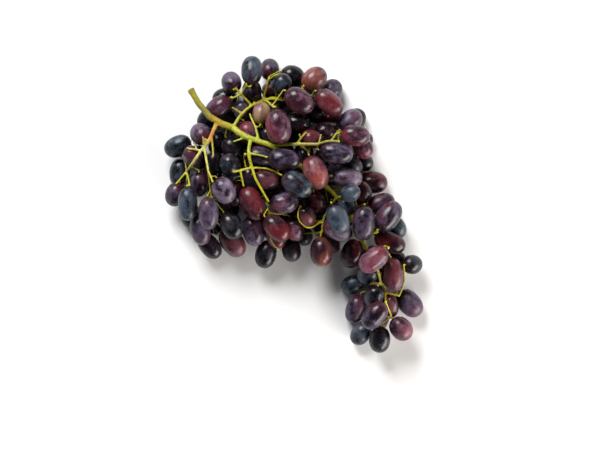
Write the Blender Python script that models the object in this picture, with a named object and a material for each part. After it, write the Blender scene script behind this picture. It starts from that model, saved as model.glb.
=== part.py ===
"""A bunch of dark table grapes lying on a table, as picked.

Frame: +Z up, the table is the plane z = 0, the origin is below the middle of the bunch.
The stalk is one piece: the peduncle with its cut end, the rachis, its side branches and a
pedicel to every berry. The berries are prolate ellipsoids. Their heights come from a
packing step, so that they touch without overlapping, and neighbours of like colour that
press together make one node.
"""

import math

import bmesh
import bpy
import numpy as np
from mathutils import Vector

# ---- Driving dimensions, in millimetres -------------------------------------------------
MM = 0.001
FLOOR_LEVEL = 9.0  # centre height of a berry in the lowest layer
LAYER_STEP = 12.5  # rise from one layer of berries to the next
GAP = 0.5  # least space between two nodes
CONTACT_SIDES, CONTACT_RADIUS = 3, 1.8  # the berries of one node meet in a contact of this radius
FLAT = 0.35  # how far a resting berry flattens as the bunch settles
SINK = 0.3  # and how much further under the weight of the bunch
BERRY_SIDES, BERRY_RINGS = 8, 5
PEDICEL_RADIUS = 0.75
PEDICEL_END = 1.35  # its radius where it flares to meet the berry
PEDICEL_REACH = 2.4  # it leaves its berry straight for this far
BED_SPACING = 18.2  # spacing of the hidden berries that the bunch rests on
BED_BERRY = (23.0, 17.0)  # their length and width
MOST_ASIDE = 8.0  # a hidden berry that would have to move further than this is left out
BED_ROOM = 0.72  # room a hidden berry needs, as a share of its width
BED_LAYERS = (0, 1)
BED_SINK, BED_RISE = 0.5, 1.15  # lower than the layers that show, and spaced wider
BED_NEAR, BED_NEIGHBOURS = 1.5, 4  # it lies among this many others within this many widths
BED_LEAN = 0.40  # and they stand all round it: their directions average less than this
BED_UNDER = (1.1, 0.3, 2)  # the upper layer lies under berries: widths aside, widths up, how many
BED_DIPS, BED_SIZES = (-30, 20), (0.92, 1.05)
MOST_NODES = 60
SWELL = 1.05  # fullness of the berries against the table below
OPENINGS = [(-50, 97), (-57, 84), (24, 107), (-29, 112), (5, 108), (75, 12), (48, 96), (-38, -40)]
OPENING_RADIUS = 7.0  # the table shows through the bunch in these places

# ---- The berries that show, branch by branch ---------------------------------------------
# x, y of the centre; layer, counted up from the table; heading of the tip seen from the
# stalk end, anticlockwise from +X; dip, the slope of the tip above the horizontal; length;
# width; tone of the skin: b blue-black, p plum, w wine red, r rose.
BERRIES = {
    "left_wing": [
        (-85, 64, 1.2, 130, -60, 23, 18.5, "p"),
        (-102.5, 50.5, 0.3, 205, -10, 25, 18.5, "b"),
        (-103.5, 34, 0.1, 265, -10, 25, 18, "b"),
        (-92.5, 43, 1.5, 300, -50, 23, 17, "p"),
        (-86, 38, 0.4, 280, -20, 22, 17, "p"),
        (-108, 11.5, 0.1, 250, -20, 22, 18, "p"),
        (-94.5, 1.5, 1.4, 272, -5, 29, 17, "b"),
        (-83.5, 18, 1.9, 268, -25, 22, 15.5, "p"),
        (-95, -9, 0.2, 282, -10, 25, 18, "b"),
        (-74, -7.5, 2.0, 272, -5, 28, 17.5, "p"),
        (-84.5, -22, 1.1, 285, -8, 26, 17, "p"),
        (-76.5, -35, 0.2, 310, -8, 25, 17.5, "p"),
        (-57, -34, 0.6, 308, -5, 28, 20, "w"),
        (-56, -18, 1.6, 300, -5, 25, 19.5, "b"),
        (-63, 13, 2.4, 300, -12, 24, 20, "r"),
        (-56, 1.5, 1.4, 300, -10, 22, 18, "b"),
        (-72, 36, 1.5, 270, -15, 24, 16, "p"),
        (-58, 37, 2.0, 110, 35, 21, 18, "b"),
        (-67, 55, 1.0, 260, -20, 21, 16, "b"),
        (-54, 53, 1.0, 300, -20, 22, 18, "b"),
        (-76, 79, 0.3, 230, -15, 21, 16.5, "b"),
    ],
    "top_wing": [
        (-66, 87.5, 1.0, 222, -10, 27, 19.5, "b"),
        (-62, 97, 0.1, 190, -10, 22, 17.5, "b"),
        (-59.5, 79, 0.2, 250, -15, 21, 16.5, "w"),
        (-55, 111.5, 0.8, 110, -55, 23, 17.5, "p"),
        (-38, 120.5, 0.9, 88, -18, 26, 18.5, "b"),
        (-38, 102.5, 0.1, 100, -25, 21, 17, "p"),
        (-21, 121.5, 0.4, 85, -40, 21, 17, "p"),
        (-1, 118.5, 0.5, -20, -25, 22, 19, "b"),
        (-12.5, 111, 1.5, 60, 40, 21, 18, "b"),
        (19, 115, 0.7, 42, -12, 24.5, 20, "w"),
        (35, 106.5, 0.2, 45, -20, 21, 18, "p"),
        (5.5, 92, 1.8, -35, -8, 28, 21, "w"),
        (30, 91.5, 1.5, -42, -8, 28, 19, "r"),
        (-13.5, 71, 2.6, 278, -3, 31, 22, "r"),
        (-28.5, 84, 1.3, 85, -20, 20, 16, "r"),
        (-41.5, 68, 1.2, 290, -20, 21, 18, "w"),
        (-21, 60.5, 1.7, 300, -20, 20, 16, "p"),
        (-45, 83, 0.5, 290, -30, 20, 15.5, "p"),
        (-36, 88, 0.0, 60, -10, 20, 16, "p"),
        (-16, 99, 0.3, 0, -10, 22, 16.5, "p"),
        (-20, 86, 0.3, 250, -20, 20, 16, "p"),
        (13, 101.5, 0.1, 10, -10, 21, 16.5, "b"),
        (16, 82, 0.6, -60, -20, 21, 17, "b"),
    ],
    "heart": [
        (8, 74, 0.9, 0, -10, 22, 18, "b"),
        (31, 78, 0.5, 20, -15, 21, 17, "b"),
        (1, 64, 0.9, 200, -10, 21, 17, "b"),
        (-10, 40, 2.7, -8, -3, 28, 19, "p"),
        (-28.5, 42, 1.8, -10, -5, 24, 18, "p"),
        (3, 21.5, 2.9, -30, -3, 29, 19.5, "b"),
        (-24, 23.5, 1.9, -20, -10, 23, 16.5, "p"),
        (-10, 16.5, 1.6, -15, -8, 24, 16, "w"),
        (-9.5, 1.5, 2.6, 8, -5, 25, 18.5, "b"),
        (-36, 2.5, 2.5, 297, -3, 31, 20, "r"),
        (-39.5, 24, 1.6, 290, -20, 22, 16, "p"),
        (22.5, 32, 3.1, 290, -3, 30, 21, "r"),
        (37, 47.5, 2.9, -10, -3, 29, 18.5, "w"),
        (8, 42, 1.6, 290, -20, 20, 15, "p"),
        (15.5, 62, 1.9, -20, -10, 20, 15.5, "p"),
        (29.5, 68, 1.7, 10, -10, 21, 16, "p"),
    ],
    "lower_edge": [
        (-37, -23, 1.6, 283, -5, 27, 19, "p"),
        (-15.5, -21.5, 1.7, 315, -5, 27, 19, "r"),
        (1, -22, 0.9, 290, -15, 22, 17, "r"),
        (-23, -40, 0.3, 255, -8, 25, 18.5, "b"),
        (-6, -34, 0.0, 280, -15, 21, 17, "b"),
        (8, -27, 0.0, 290, -15, 20, 16, "b"),
        (13, -10, 1.0, 300, -30, 20, 15.5, "p"),
        (7, 3, 1.0, 280, -30, 21, 16, "b"),
        (22, 2.5, 1.8, 290, -25, 20, 14.5, "b"),
        (39.5, -13, 2.5, 292, -5, 27, 18.5, "b"),
        (40.5, -21.5, 1.3, 335, -8, 27, 18, "r"),
        (25.5, -40, 0.9, 272, -6, 26, 19.5, "w"),
        (34, -33, 0.0, 300, -10, 21, 16, "b"),
    ],
    "right_shoulder": [
        (51, 76.5, 1.2, 40, -12, 23, 18, "p"),
        (57.5, 78, 0.1, 65, -12, 22, 17.5, "p"),
        (55, 60.5, 2.0, -8, -5, 25.5, 18.5, "r"),
        (61, 52, 0.9, -60, -10, 22, 17.5, "r"),
        (63, 59, 0.0, 20, -10, 20, 16, "p"),
        (53, 38, 1.2, -40, -20, 21, 16.5, "b"),
        (62, 39, 0.1, -30, -15, 20, 16, "p"),
        (71, 26, 0.7, 0, -8, 26, 19.5, "w"),
        (49.5, 24.5, 2.3, -6, -5, 25.5, 17, "r"),
        (51.5, 11, 2.6, 20, 40, 19, 15, "b"),
        (50, -1, 1.5, 300, -20, 18, 15, "b"),
        (64.5, 12, 0.9, 290, -20, 20, 15.5, "w"),
        (79, 1.5, 0.6, 12, -8, 24, 17, "p"),
        (85.5, -11.5, 1.9, 55, -5, 30, 20, "p"),
        (63, -16, 2.2, 268, -4, 30, 19.5, "p"),
        (93, -20, 0.4, 300, -15, 21, 16.5, "p"),
        (88, -32, 1.2, -25, -6, 29, 18, "w"),
        (55, -44.5, 0.5, 250, -8, 26, 19.5, "p"),
        (73.5, -49.5, 2.0, 218, -5, 29, 19, "r"),
    ],
    "tail": [
        (104, -55, 0.1, 0, -50, 20, 17, "b"),
        (90, -63.5, 1.0, 278, -5, 29, 19, "w"),
        (69.5, -63.5, 0.8, 230, -15, 22, 18, "b"),
        (58.5, -72, 0.0, 205, -15, 21, 17, "b"),
        (74.5, -79, 0.9, 250, -35, 22, 17, "p"),
        (61.5, -93, 0.3, 252, -8, 25.5, 17.5, "p"),
        (73.5, -98.5, 1.4, 230, -5, 27, 18.5, "p"),
        (104.5, -91, 0.6, -48, -8, 27.5, 20, "p"),
        (88, -93, 0.4, 275, -20, 21, 14, "w"),
        (96.5, -110.5, 0.3, -50, -15, 23, 19, "w"),
        (80.5, -121.5, 0.2, 265, -12, 23.5, 18.5, "b"),
        (63, -117, 0.2, 235, -12, 22, 17, "b"),
        (81, -105, 0.0, 250, -15, 20, 15, "p"),
    ],
}

# ---- The stalk, branch by branch ---------------------------------------------------------
# Radius where the branch starts, radius where it ends, and its course: x, y, and the height
# where something other than the berries under it sets that. A branch starts on an earlier one.
STALK = [
    # The peduncle, from its cut end, and the rachis as far as it shows.
    (2.8, 3.1, [(-93.5, 105, 38), (-92, 98, 38), (-86, 91, 38), (-79, 83, 38), (-72, 75.5, 37),
                (-65, 72, 36), (-55, 70.5, 36)]),
    (3.1, 2.5, [(-55, 70.5), (-50, 66), (-45, 62), (-40, 59), (-35, 57), (-30, 57), (-25, 55), (-20, 53)]),
    # The rachis goes on under the heart to the tail.
    (2.4, 1.4, [(-20, 53), (-6, 46, 27), (10, 33, 25), (40, 8, 24), (58, -18, 24), (70, -48, 22),
                (78, -66, 19), (84, -76, 20)]),
    (1.4, 1.1, [(84, -76), (85, -79), (85, -84), (84, -88)]),
    # The left arm and its twigs.
    (2.0, 1.3, [(-71, 74), (-72, 64), (-74, 58), (-79, 54), (-85, 50), (-91, 44), (-96, 36), (-98, 31)]),
    (1.1, 0.9, [(-98, 31), (-102, 27), (-105, 22), (-107, 19)]),
    (1.1, 0.9, [(-98, 31), (-97, 26), (-98, 22), (-94, 17)]),
    (1.3, 1.0, [(-79, 54), (-79.5, 42), (-79.5, 34), (-79, 28), (-75, 23), (-72, 20)]),
    (1.0, 0.9, [(-79, 28), (-76, 22), (-75.5, 14), (-75, 8)]),
    (1.0, 0.9, [(-79, 54), (-81, 59), (-82, 62)]),
    (1.0, 0.9, [(-83, 52), (-87, 54.5), (-92, 54.5), (-95, 51)]),
    (1.1, 0.9, [(-73, 60), (-72.5, 50), (-72.5, 44)]),
    # The top arm and its twigs.
    (1.9, 1.4, [(-55, 70.5), (-52, 78), (-49, 84), (-45, 89), (-40, 92.5), (-34, 95), (-28, 96)]),
    (1.4, 1.1, [(-28, 96), (-22, 95.5), (-15, 95), (-10, 96)]),
    (1.2, 0.9, [(-49, 84), (-53, 87), (-56, 89)]),
    (1.3, 1.0, [(-40, 92.5), (-44, 97), (-47, 101), (-51, 104.5), (-53, 107)]),
    (1.0, 0.9, [(-47, 101), (-46, 106), (-42, 111)]),
    (1.0, 0.9, [(-47, 101), (-53, 100.5), (-57, 97)]),
    (1.3, 1.0, [(-27, 96), (-26, 102), (-25, 108), (-23, 114), (-22, 118)]),
    (1.0, 0.9, [(-23, 115), (-18, 118), (-13, 119.5)]),
    (1.1, 0.9, [(-28, 97), (-20, 101), (-15, 101.5), (-10, 99.5)]),
    (1.1, 0.9, [(-27, 95), (-22, 90), (-17, 87)]),
    (1.1, 0.9, [(-10, 96), (0, 104, 24), (9, 103), (17, 100)]),
    (1.0, 0.9, [(2, 105), (10, 109.5)]),
    # From the rachis: up to the berries in the fork, and on to the right shoulder.
    (1.4, 1.0, [(-30, 57), (-30, 63), (-29, 67), (-33, 72), (-38, 79), (-40, 84)]),
    (1.7, 1.4, [(-20, 53), (-13, 54.5), (-5, 56.5), (4, 58), (9, 55.5), (16, 55), (23, 55)]),
    (1.0, 0.9, [(4, 58), (8, 62), (12, 66)]),
    (1.0, 0.9, [(8, 56), (11, 52), (15, 48)]),
    (1.2, 1.0, [(23, 55), (33, 58), (38, 57.5), (42, 57)]),
    (1.0, 0.9, [(23, 55), (26, 58), (25, 64)]),
    (1.1, 0.9, [(36, 58), (39, 63), (41, 68)]),
    # Down from the rachis to the middle of the bunch.
    (2.0, 1.5, [(-41, 59), (-40.5, 52), (-40, 46), (-39, 40), (-37.5, 34)]),
    (1.5, 1.0, [(-37.5, 34), (-36, 28), (-33, 22), (-30, 14), (-26, 7), (-22, 3)]),
    (1.2, 0.9, [(-43, 60), (-49, 58), (-55, 57.5)]),
    (1.1, 0.9, [(-40, 46), (-48, 44), (-46, 40)]),
    (1.1, 0.9, [(-39, 46), (-33, 46), (-26, 44)]),
    (1.2, 1.0, [(-37.5, 34), (-42, 31), (-48, 28.5), (-55, 30)]),
    (1.1, 0.9, [(-48, 28.5), (-47.5, 23), (-45, 17)]),
    (1.1, 0.9, [(-37.5, 34), (-30, 33), (-22, 31), (-13, 28)]),
    (1.0, 0.9, [(-26, 7), (-23, -2), (-22, -7)]),
    # Twigs of the hidden rachis that come up between the berries.
    (1.5, 1.2, [(10, 33), (14, 25, 32), (20, 19), (26, 14), (32, 13.5), (37, 13)]),
    (1.0, 0.9, [(26, 14), (28, 7), (31, 2)]),
    (1.2, 0.9, [(40, 8), (30, -3, 30), (24, -11), (25, -18), (26, -24)]),
    (1.0, 0.9, [(24, -11), (17, -17), (12, -20)]),
    (1.2, 0.9, [(52, -8), (57, 2, 30), (61, 4), (65, 0)]),
    (1.2, 0.9, [(62, -28), (72, -28, 27), (78, -24), (77, -22)]),
    (1.1, 0.9, [(68, -44), (80, -38, 30), (84, -37)]),
    (1.1, 0.9, [(66, -36), (65, -37)]),
    (1.1, 0.9, [(82, -73), (75, -73), (70, -72)]),
    (1.1, 0.9, [(85, -79), (91, -80), (97, -83)]),
    (1.0, 0.9, [(84, -86), (88, -97), (90, -102)]),
]

# Each tone's material: name, linear colour and roughness. None is metallic.
SKINS = {
    "b": ("berry_blue_black", (0.020, 0.022, 0.040), 0.45),
    "p": ("berry_plum", (0.060, 0.022, 0.045), 0.45),
    "w": ("berry_wine_red", (0.110, 0.020, 0.030), 0.42),
    "r": ("berry_rose", (0.330, 0.110, 0.110), 0.42),
}
STEM_GREEN = ("stem_green", (0.330, 0.400, 0.050), 0.60)

# ---- How the bunch settles ---------------------------------------------------------------
SEED = 11
SETTLE_STEPS = 900
EASED_BY = 0.75  # share of the steps after which nothing is drawn back to its place
PAIRS_EVERY = 20  # steps between fresh lists of the pairs that are close
PAIRS_WITHIN = 5  # gap below which a pair is listed
OVERSHOOT = 1.3
DRAW_ASIDE, DRAW_UP, WEIGHT = 0.10, 0.03, 0.20  # pulls on a berry in each step, at the start
STIFF, STIFF_LEAST = 0.25, 0.02  # pull on a point of the stalk to the middle of its neighbours
SHOWN_LOOSE = (0.20, 0.20, 1.0)  # how easily a berry that shows is pushed along x, y and z
BED_LOOSE = (1.0, 1.0, 1.0)
STEM_LOOSE = (0.30, 0.30, 0.55)
STEM_SPACING = 4.0
STEM_ROOM = 0.25  # room kept around a branch, for its straight runs between points
PIN_OUT, PIN_RADIUS = 1.4, 1.3  # the room kept for a pedicel past the stalk end of its berry

# ---- How the pedicels find their way -----------------------------------------------------
CELL = 1.0  # cell size of the grid that they run through
GRID_MARGIN = 8.0
LONGEST_PEDICEL = 90  # in cells
AROUND = np.array([(i, j, k) for i in (-1, 0, 1) for j in (-1, 0, 1) for k in (-1, 0, 1)])
NEARBY = np.array([(i, j, k) for i in range(-3, 4) for j in range(-3, 4) for k in range(-3, 4)])
PER_CELL, PER_STEP = 3, 0.2  # cost of distance: to the first cell, and from a cell to the next
SMOOTHING = 40
CLEAR = 0.35  # least space between a pedicel and a berry
CLEAR_MORE = 0.12  # and this much more where a run is drawn straight
PEDICEL_BOW, BRANCH_BOW = 1.8, 0.5  # how far a course may be drawn straight
PEDICEL_SIDES, HIDDEN_SIDES, BRANCH_SIDES, RACHIS_SIDES = 4, 3, 5, 8
RACHIS_LEAST = 2.2  # a branch at least this thick has the sides of the rachis

# ---- How berries are gathered into nodes -------------------------------------------------
TOUCHING = 2.5  # berries further apart than this are never joined
OTHER_TONE, OTHER_REGION = 0.5, 0.3  # what a change of tone or region counts for, as distance
GROUP_SIZES = (2, 3, 4, 5)  # pairs are made first, then groups of three, and so on


def clear_scene():
    for obj in list(bpy.data.objects):
        bpy.data.objects.remove(obj)


def unit(v):
    return v / np.maximum(np.linalg.norm(v, axis=-1, keepdims=True), 1e-9)


def direction(heading, dip):
    """Unit vectors from a heading in plan and a slope above the horizontal, in degrees."""
    a, d = np.radians(heading), np.radians(dip)
    return np.stack([np.cos(a) * np.cos(d), np.sin(a) * np.cos(d), np.sin(d)], axis=-1)


def shown_berries():
    """The berries of the table: middle, axis, half length, radius, tone and region of each."""
    rows = [(region, *row) for region, group in BERRIES.items() for row in group]
    x, y, layer, heading, dip, length, width = (
        np.array([row[k] for row in rows], float) for k in range(1, 8)
    )
    height = FLOOR_LEVEL + LAYER_STEP * layer
    return {
        "middle": np.stack([x, y, height], axis=1),
        "goal": np.stack([x, y, height], axis=1),
        "axis": direction(heading, dip),
        "half": SWELL * length / 2,
        "radius": SWELL * width / 2,
        "tone": [row[8] for row in rows],
        "region": [row[0] for row in rows],
        "shown": np.ones(len(rows), bool),
    }


def closest(p, u, h, q, v, k):
    """From the nearest point of the second segment to the nearest point of the first.

    A segment is its middle, direction and half length."""
    r = p - q
    along = (u * v).sum(-1)
    b, c = (u * r).sum(-1), (v * r).sum(-1)
    spread = np.maximum(1 - along**2, 1e-6)
    s = np.clip((along * c - b) / spread, -h, h)
    t = np.clip(along * s + c, -k, k)
    s = np.clip(along * t - b, -h, h)
    return r + u * s[..., None] - v * t[..., None]


def with_bed(berries, rng):
    """Adds the hidden berries: rows on a triangular lattice wherever the shell leaves room."""
    low, high = berries["middle"].min(axis=0) - 10, berries["middle"].max(axis=0) + 10
    length, width = BED_BERRY
    found = []
    for layer in BED_LAYERS:
        shift = layer * BED_SPACING / 3
        row_step = BED_SPACING * math.sqrt(3) / 2
        for row, y in enumerate(np.arange(low[1] + shift, high[1], row_step)):
            start = low[0] + shift + (row % 2) * BED_SPACING / 2
            for x in np.arange(start, high[0], BED_SPACING):
                found.append((x, y, FLOOR_LEVEL - BED_SINK + layer * LAYER_STEP * BED_RISE))
    spots = np.array(found)
    away = berries["middle"][None] - spots[:, None]
    plan = np.linalg.norm(away[..., :2], axis=-1)
    room = np.linalg.norm(away, axis=-1).min(axis=1) > BED_ROOM * width
    near = (plan < BED_NEAR * width)[..., None]
    pull = np.where(near, unit(away[..., :2]), 0).sum(axis=1) / np.maximum(near.sum(axis=1), 1)
    inside = (near[..., 0].sum(axis=1) >= BED_NEIGHBOURS) & (np.linalg.norm(pull, axis=1) < BED_LEAN)
    aside, up, most = BED_UNDER
    beneath = ((plan < aside * width) & (away[..., 2] > up * width)).sum(axis=1) >= most
    open_spot = np.linalg.norm(spots[:, None, :2] - np.array(OPENINGS)[None], axis=2)
    shut = open_spot.min(axis=1) > OPENING_RADIUS
    spots = spots[room & inside & shut & (beneath | (spots[:, 2] < FLOOR_LEVEL))]
    count = len(spots)
    heading, dip = rng.uniform(0, 360, count), rng.uniform(*BED_DIPS, count)
    size = rng.uniform(*BED_SIZES, count)
    return {
        "middle": np.concatenate([berries["middle"], spots]),
        "goal": np.concatenate([berries["goal"], spots]),
        "axis": np.concatenate([berries["axis"], direction(heading, dip)]),
        "half": np.concatenate([berries["half"], size * length / 2]),
        "radius": np.concatenate([berries["radius"], size * width / 2]),
        "tone": berries["tone"] + ["b" if k % 3 else "p" for k in range(count)],
        "region": berries["region"] + ["bed"] * count,
        "shown": np.concatenate([berries["shown"], np.zeros(count, bool)]),
    }


def resample(course, spacing):
    """Points at an even spacing along a course. A height of NaN stays NaN."""
    course = np.array([(*p, np.nan) if len(p) == 2 else p for p in course], float)
    steps = np.linalg.norm(np.diff(course[:, :2], axis=0), axis=1)
    run = np.concatenate([[0], np.cumsum(steps)])
    count = max(2, int(round(run[-1] / spacing)) + 1)
    at = np.linspace(0, run[-1], count)
    return np.stack([np.interp(at, run, course[:, k]) for k in range(3)], axis=1)


def lay_stalk(berries):
    """The stalk's branches as chains of points, laid over the berries that they cross."""
    chains, points, radii = [], np.zeros((0, 3)), np.zeros(0)
    ties = []
    for first, last, course in STALK:
        chain = resample(course, STEM_SPACING)
        radius = np.linspace(first, last, len(chain))
        free = np.isnan(chain[:, 2])
        chain[free, 2] = draped(berries, chain[free, :2], radius[free])
        if len(points):
            near = np.linalg.norm(points[:, :2] - chain[0, :2], axis=1).argmin()
            ties.append((len(points), near))
            chain[0] = points[near]
        for _ in range(6):
            inner = (chain[:-2] + chain[2:]) / 2
            chain[1:-1, 2] = np.maximum(chain[1:-1, 2], inner[:, 2])
        chains.append(np.arange(len(points), len(points) + len(chain)))
        points = np.concatenate([points, chain])
        radii = np.concatenate([radii, radius])
    ties = np.array(ties)
    goal = points.copy()
    return {"chains": chains, "point": points, "goal": goal, "radius": radii, "ties": ties}


def draped(berries, spots, radius):
    """Height at which a ball of this radius rests on the berries at each spot."""
    t = np.linspace(-1, 1, 7)
    reach = (berries["half"] - berries["radius"])[:, None] * t
    balls = berries["middle"][:, None] + berries["axis"][:, None] * reach[..., None]
    sizes = np.repeat(berries["radius"], len(t))
    balls = balls.reshape(-1, 3)
    apart = np.linalg.norm(balls[None, :, :2] - spots[:, None], axis=2)
    both = sizes[None] + radius[:, None] + GAP
    top = balls[None, :, 2] + np.sqrt(np.maximum(both**2 - apart**2, 0))
    return np.where(apart < both, top, radius[:, None]).max(axis=1)


def settle(berries, stalk):
    """Pushes berries and stalk apart until nothing overlaps, and keeps all on the table.

    A berry acts as a capsule with a short pin at its stalk end, a point of the stalk as a
    ball. Each pair that is too close parts along the line between them."""
    n, m = len(berries["half"]), len(stalk["radius"])
    place = np.concatenate([berries["middle"], stalk["point"]])
    goal = np.concatenate([berries["goal"], stalk["goal"]])
    loose = np.concatenate(
        [
            np.where(berries["shown"][:, None], SHOWN_LOOSE, BED_LOOSE),
            np.tile(STEM_LOOSE, (m, 1)),
        ]
    )
    axis, radius = berries["axis"], berries["radius"]
    reach = berries["half"] - radius
    pin = -axis * (berries["half"] + PIN_OUT)[:, None]
    body = np.concatenate([np.arange(n), np.arange(n), np.arange(n, n + m)])
    offset = np.concatenate([np.zeros((n, 3)), pin, np.zeros((m, 3))])
    line = np.concatenate([axis, np.tile([0.0, 0.0, 1.0], (n + m, 1))])
    span = np.concatenate([reach, np.zeros(n + m)])
    size = np.concatenate([radius, np.full(n, PIN_RADIUS), stalk["radius"] + STEM_ROOM])
    drop = np.sqrt((berries["half"] * axis[:, 2]) ** 2 + radius**2 * (1 - axis[:, 2] ** 2))
    lowest = np.concatenate([drop - FLAT, stalk["radius"] + GAP])
    one, other = np.triu_indices(len(body), 1)
    keep = (one < n) & (body[one] != body[other])
    one, other = one[keep], other[keep]
    for step in range(SETTLE_STEPS):
        if step % PAIRS_EVERY == 0:
            spot = place[body] + offset
            apart = np.linalg.norm(spot[one] - spot[other], axis=1)
            near = apart < span[one] + span[other] + size[one] + size[other] + PAIRS_WITHIN
            i, j = one[near], other[near]
            bi, bj = body[i], body[j]
        spot = place[body] + offset
        away = closest(spot[i], line[i], span[i], spot[j], line[j], span[j])
        gap = np.linalg.norm(away, axis=1)
        over = np.maximum(size[i] + size[j] + GAP - gap, 0)
        normal = away / np.maximum(gap, 1e-6)[:, None]
        give_i, give_j = loose[bi] * normal, loose[bj] * normal
        share = over / np.maximum(((give_i + give_j) * normal).sum(1), 1e-6)
        move, touched = np.zeros_like(place), np.zeros(len(place))
        np.add.at(move, bi, give_i * share[:, None])
        np.add.at(move, bj, -give_j * share[:, None])
        np.add.at(touched, bi, over > 0)
        np.add.at(touched, bj, over > 0)
        place += OVERSHOOT * move / np.maximum(touched, 1)[:, None]
        ease = max(0.0, 1 - step / (EASED_BY * SETTLE_STEPS))
        place[:, :2] += DRAW_ASIDE * ease * (goal - place)[:, :2]
        place[:n, 2] += DRAW_UP * ease * (goal - place)[:n, 2] - WEIGHT * ease
        bend_stalk(place[n:], stalk, STIFF * ease + STIFF_LEAST)
        place[:, 2] = np.maximum(place[:, 2], lowest)
    berries["middle"], stalk["point"] = place[:n], place[n:]


def without_squeezed(berries):
    """Leaves out the hidden berries that had no room and were pushed far aside."""
    aside = np.linalg.norm((berries["middle"] - berries["goal"])[:, :2], axis=1)
    keep = np.flatnonzero(berries["shown"] | (aside < MOST_ASIDE))
    return {
        name: values[keep] if isinstance(values, np.ndarray) else [values[k] for k in keep]
        for name, values in berries.items()
    }


def bend_stalk(points, stalk, stiff):
    """Draws each point of the stalk towards the middle of its neighbours, in place."""
    for chain in stalk["chains"]:
        middle = (points[chain[:-2]] + points[chain[2:]]) / 2
        points[chain[1:-1]] += stiff * (middle - points[chain[1:-1]])
    start, parent = stalk["ties"].T
    points[start] = points[parent]


class Grid:
    """Cells of the space that the bunch lies in, for finding a way between the berries."""

    def __init__(self, berries, stalk):
        every = np.concatenate([berries["middle"], stalk["point"]])
        self.low = np.floor(every.min(axis=0) - GRID_MARGIN)
        self.low[2] = 0.0
        high = np.ceil(every.max(axis=0) + GRID_MARGIN)
        self.shape = tuple(((high - self.low) / CELL).astype(int) + 1)

    def cell(self, points):
        return np.clip(np.round((points - self.low) / CELL).astype(int), 0, np.array(self.shape) - 1)

    def point(self, cells):
        return self.low + np.asarray(cells) * CELL


def berry_matrix(berries, k, more):
    """Maps a point, measured from the middle of a berry, to where that berry is a unit ball."""
    axis = berries["axis"][k]
    along = np.outer(axis, axis)
    half, radius = berries["half"][k] + more, berries["radius"][k] + more
    return along / half + (np.eye(3) - along) / radius


def free_cells(grid, berries):
    """The cells where the middle of a pedicel can run clear of every berry and the table."""
    free = np.ones(grid.shape, bool)
    margin = PEDICEL_RADIUS + CLEAR
    free[:, :, : int(np.ceil(margin / CELL))] = False
    for k, middle in enumerate(berries["middle"]):
        reach = berries["half"][k] + margin + CELL
        low, high = grid.cell(middle - reach), grid.cell(middle + reach) + 1
        block = tuple(slice(a, b) for a, b in zip(low, high))
        cells = np.stack(np.meshgrid(*[np.arange(a, b) for a, b in zip(low, high)], indexing="ij"), -1)
        local = (grid.point(cells) - middle) @ berry_matrix(berries, k, margin)
        free[block] &= (local**2).sum(-1) > 1
    return free


def flood(free, source):
    """The number of cells from the source to each cell, through free cells; -1 where none leads."""
    steps = np.where(source, 0, -1).astype(np.int16)
    front = source
    for count in range(1, LONGEST_PEDICEL):
        grown = front.copy()
        grown[1:] |= front[:-1]
        grown[:-1] |= front[1:]
        grown[:, 1:] |= front[:, :-1]
        grown[:, :-1] |= front[:, 1:]
        grown[:, :, 1:] |= front[:, :, :-1]
        grown[:, :, :-1] |= front[:, :, 1:]
        front = grown & free & (steps < 0)
        steps[front] = count
    return steps


def way_down(steps, start):
    """The cells from the start to the source, each nearer to it than the one before."""
    limit = np.array(steps.shape) - 1
    near = np.clip(start + NEARBY, 0, limit)
    value = steps[tuple(near.T)].astype(float)
    cost = np.where(value < 0, np.inf, value + PER_CELL * np.linalg.norm(NEARBY, axis=1))
    if not np.isfinite(cost.min()):
        return None
    path = [near[cost.argmin()]]
    while steps[tuple(path[-1])] > 0:
        near = np.clip(path[-1] + AROUND, 0, limit)
        value = steps[tuple(near.T)].astype(float)
        value = np.where(value < 0, np.inf, value + PER_STEP * np.linalg.norm(AROUND, axis=1))
        path.append(near[value.argmin()])
    return np.array(path)


def keep_out(points, berries, near):
    """Moves points that are too close to a berry straight out of it."""
    for k in near:
        local = points - berries["middle"][k]
        far = np.linalg.norm(local @ berry_matrix(berries, k, PEDICEL_RADIUS + CLEAR), axis=1)
        points += local * np.maximum(1 / np.maximum(far, 0.1) - 1, 0)[:, None]


def close_berries(path, berries):
    low, high = path.min(axis=0), path.max(axis=0)
    reach = berries["half"][:, None] + 3
    touches = (berries["middle"] > low - reach) & (berries["middle"] < high + reach)
    return np.flatnonzero(touches.all(axis=1))


def smoothed(path, berries, fixed):
    """The path drawn tight around the berries, its first points and its last one fixed."""
    near = close_berries(path, berries)
    for _ in range(SMOOTHING):
        inner = path[fixed:-1].copy()
        inner += 0.5 * ((path[fixed - 1 : -2] + path[fixed + 1 :]) / 2 - inner)
        keep_out(inner, berries, near)
        path[fixed:-1] = inner
    return path


def clear_run(start, end, berries, near, radius):
    """Whether a straight run of this radius between two points misses every berry."""
    count = 2 + int(np.linalg.norm(end - start))
    points = start + (end - start) * np.linspace(0, 1, count)[:, None]
    for k in near:
        local = (points - berries["middle"][k]) @ berry_matrix(berries, k, radius)
        if (np.linalg.norm(local, axis=1) < 1).any():
            return False
    return True


def straightened(path, berries, radius, bow):
    """The path without the points that a straight run can skip, staying within the bow of them."""
    near = close_berries(path, berries)
    kept = [0]
    while kept[-1] < len(path) - 1:
        first = kept[-1]
        for last in range(len(path) - 1, first, -1):
            along = unit(path[last] - path[first])
            off = path[first:last] - path[first]
            off = np.linalg.norm(off - (off @ along)[:, None] * along, axis=1).max()
            room = radius + CLEAR_MORE
            if off < bow and clear_run(path[first], path[last], berries, near, room):
                break
        kept.append(last)
    return path[kept]


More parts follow.
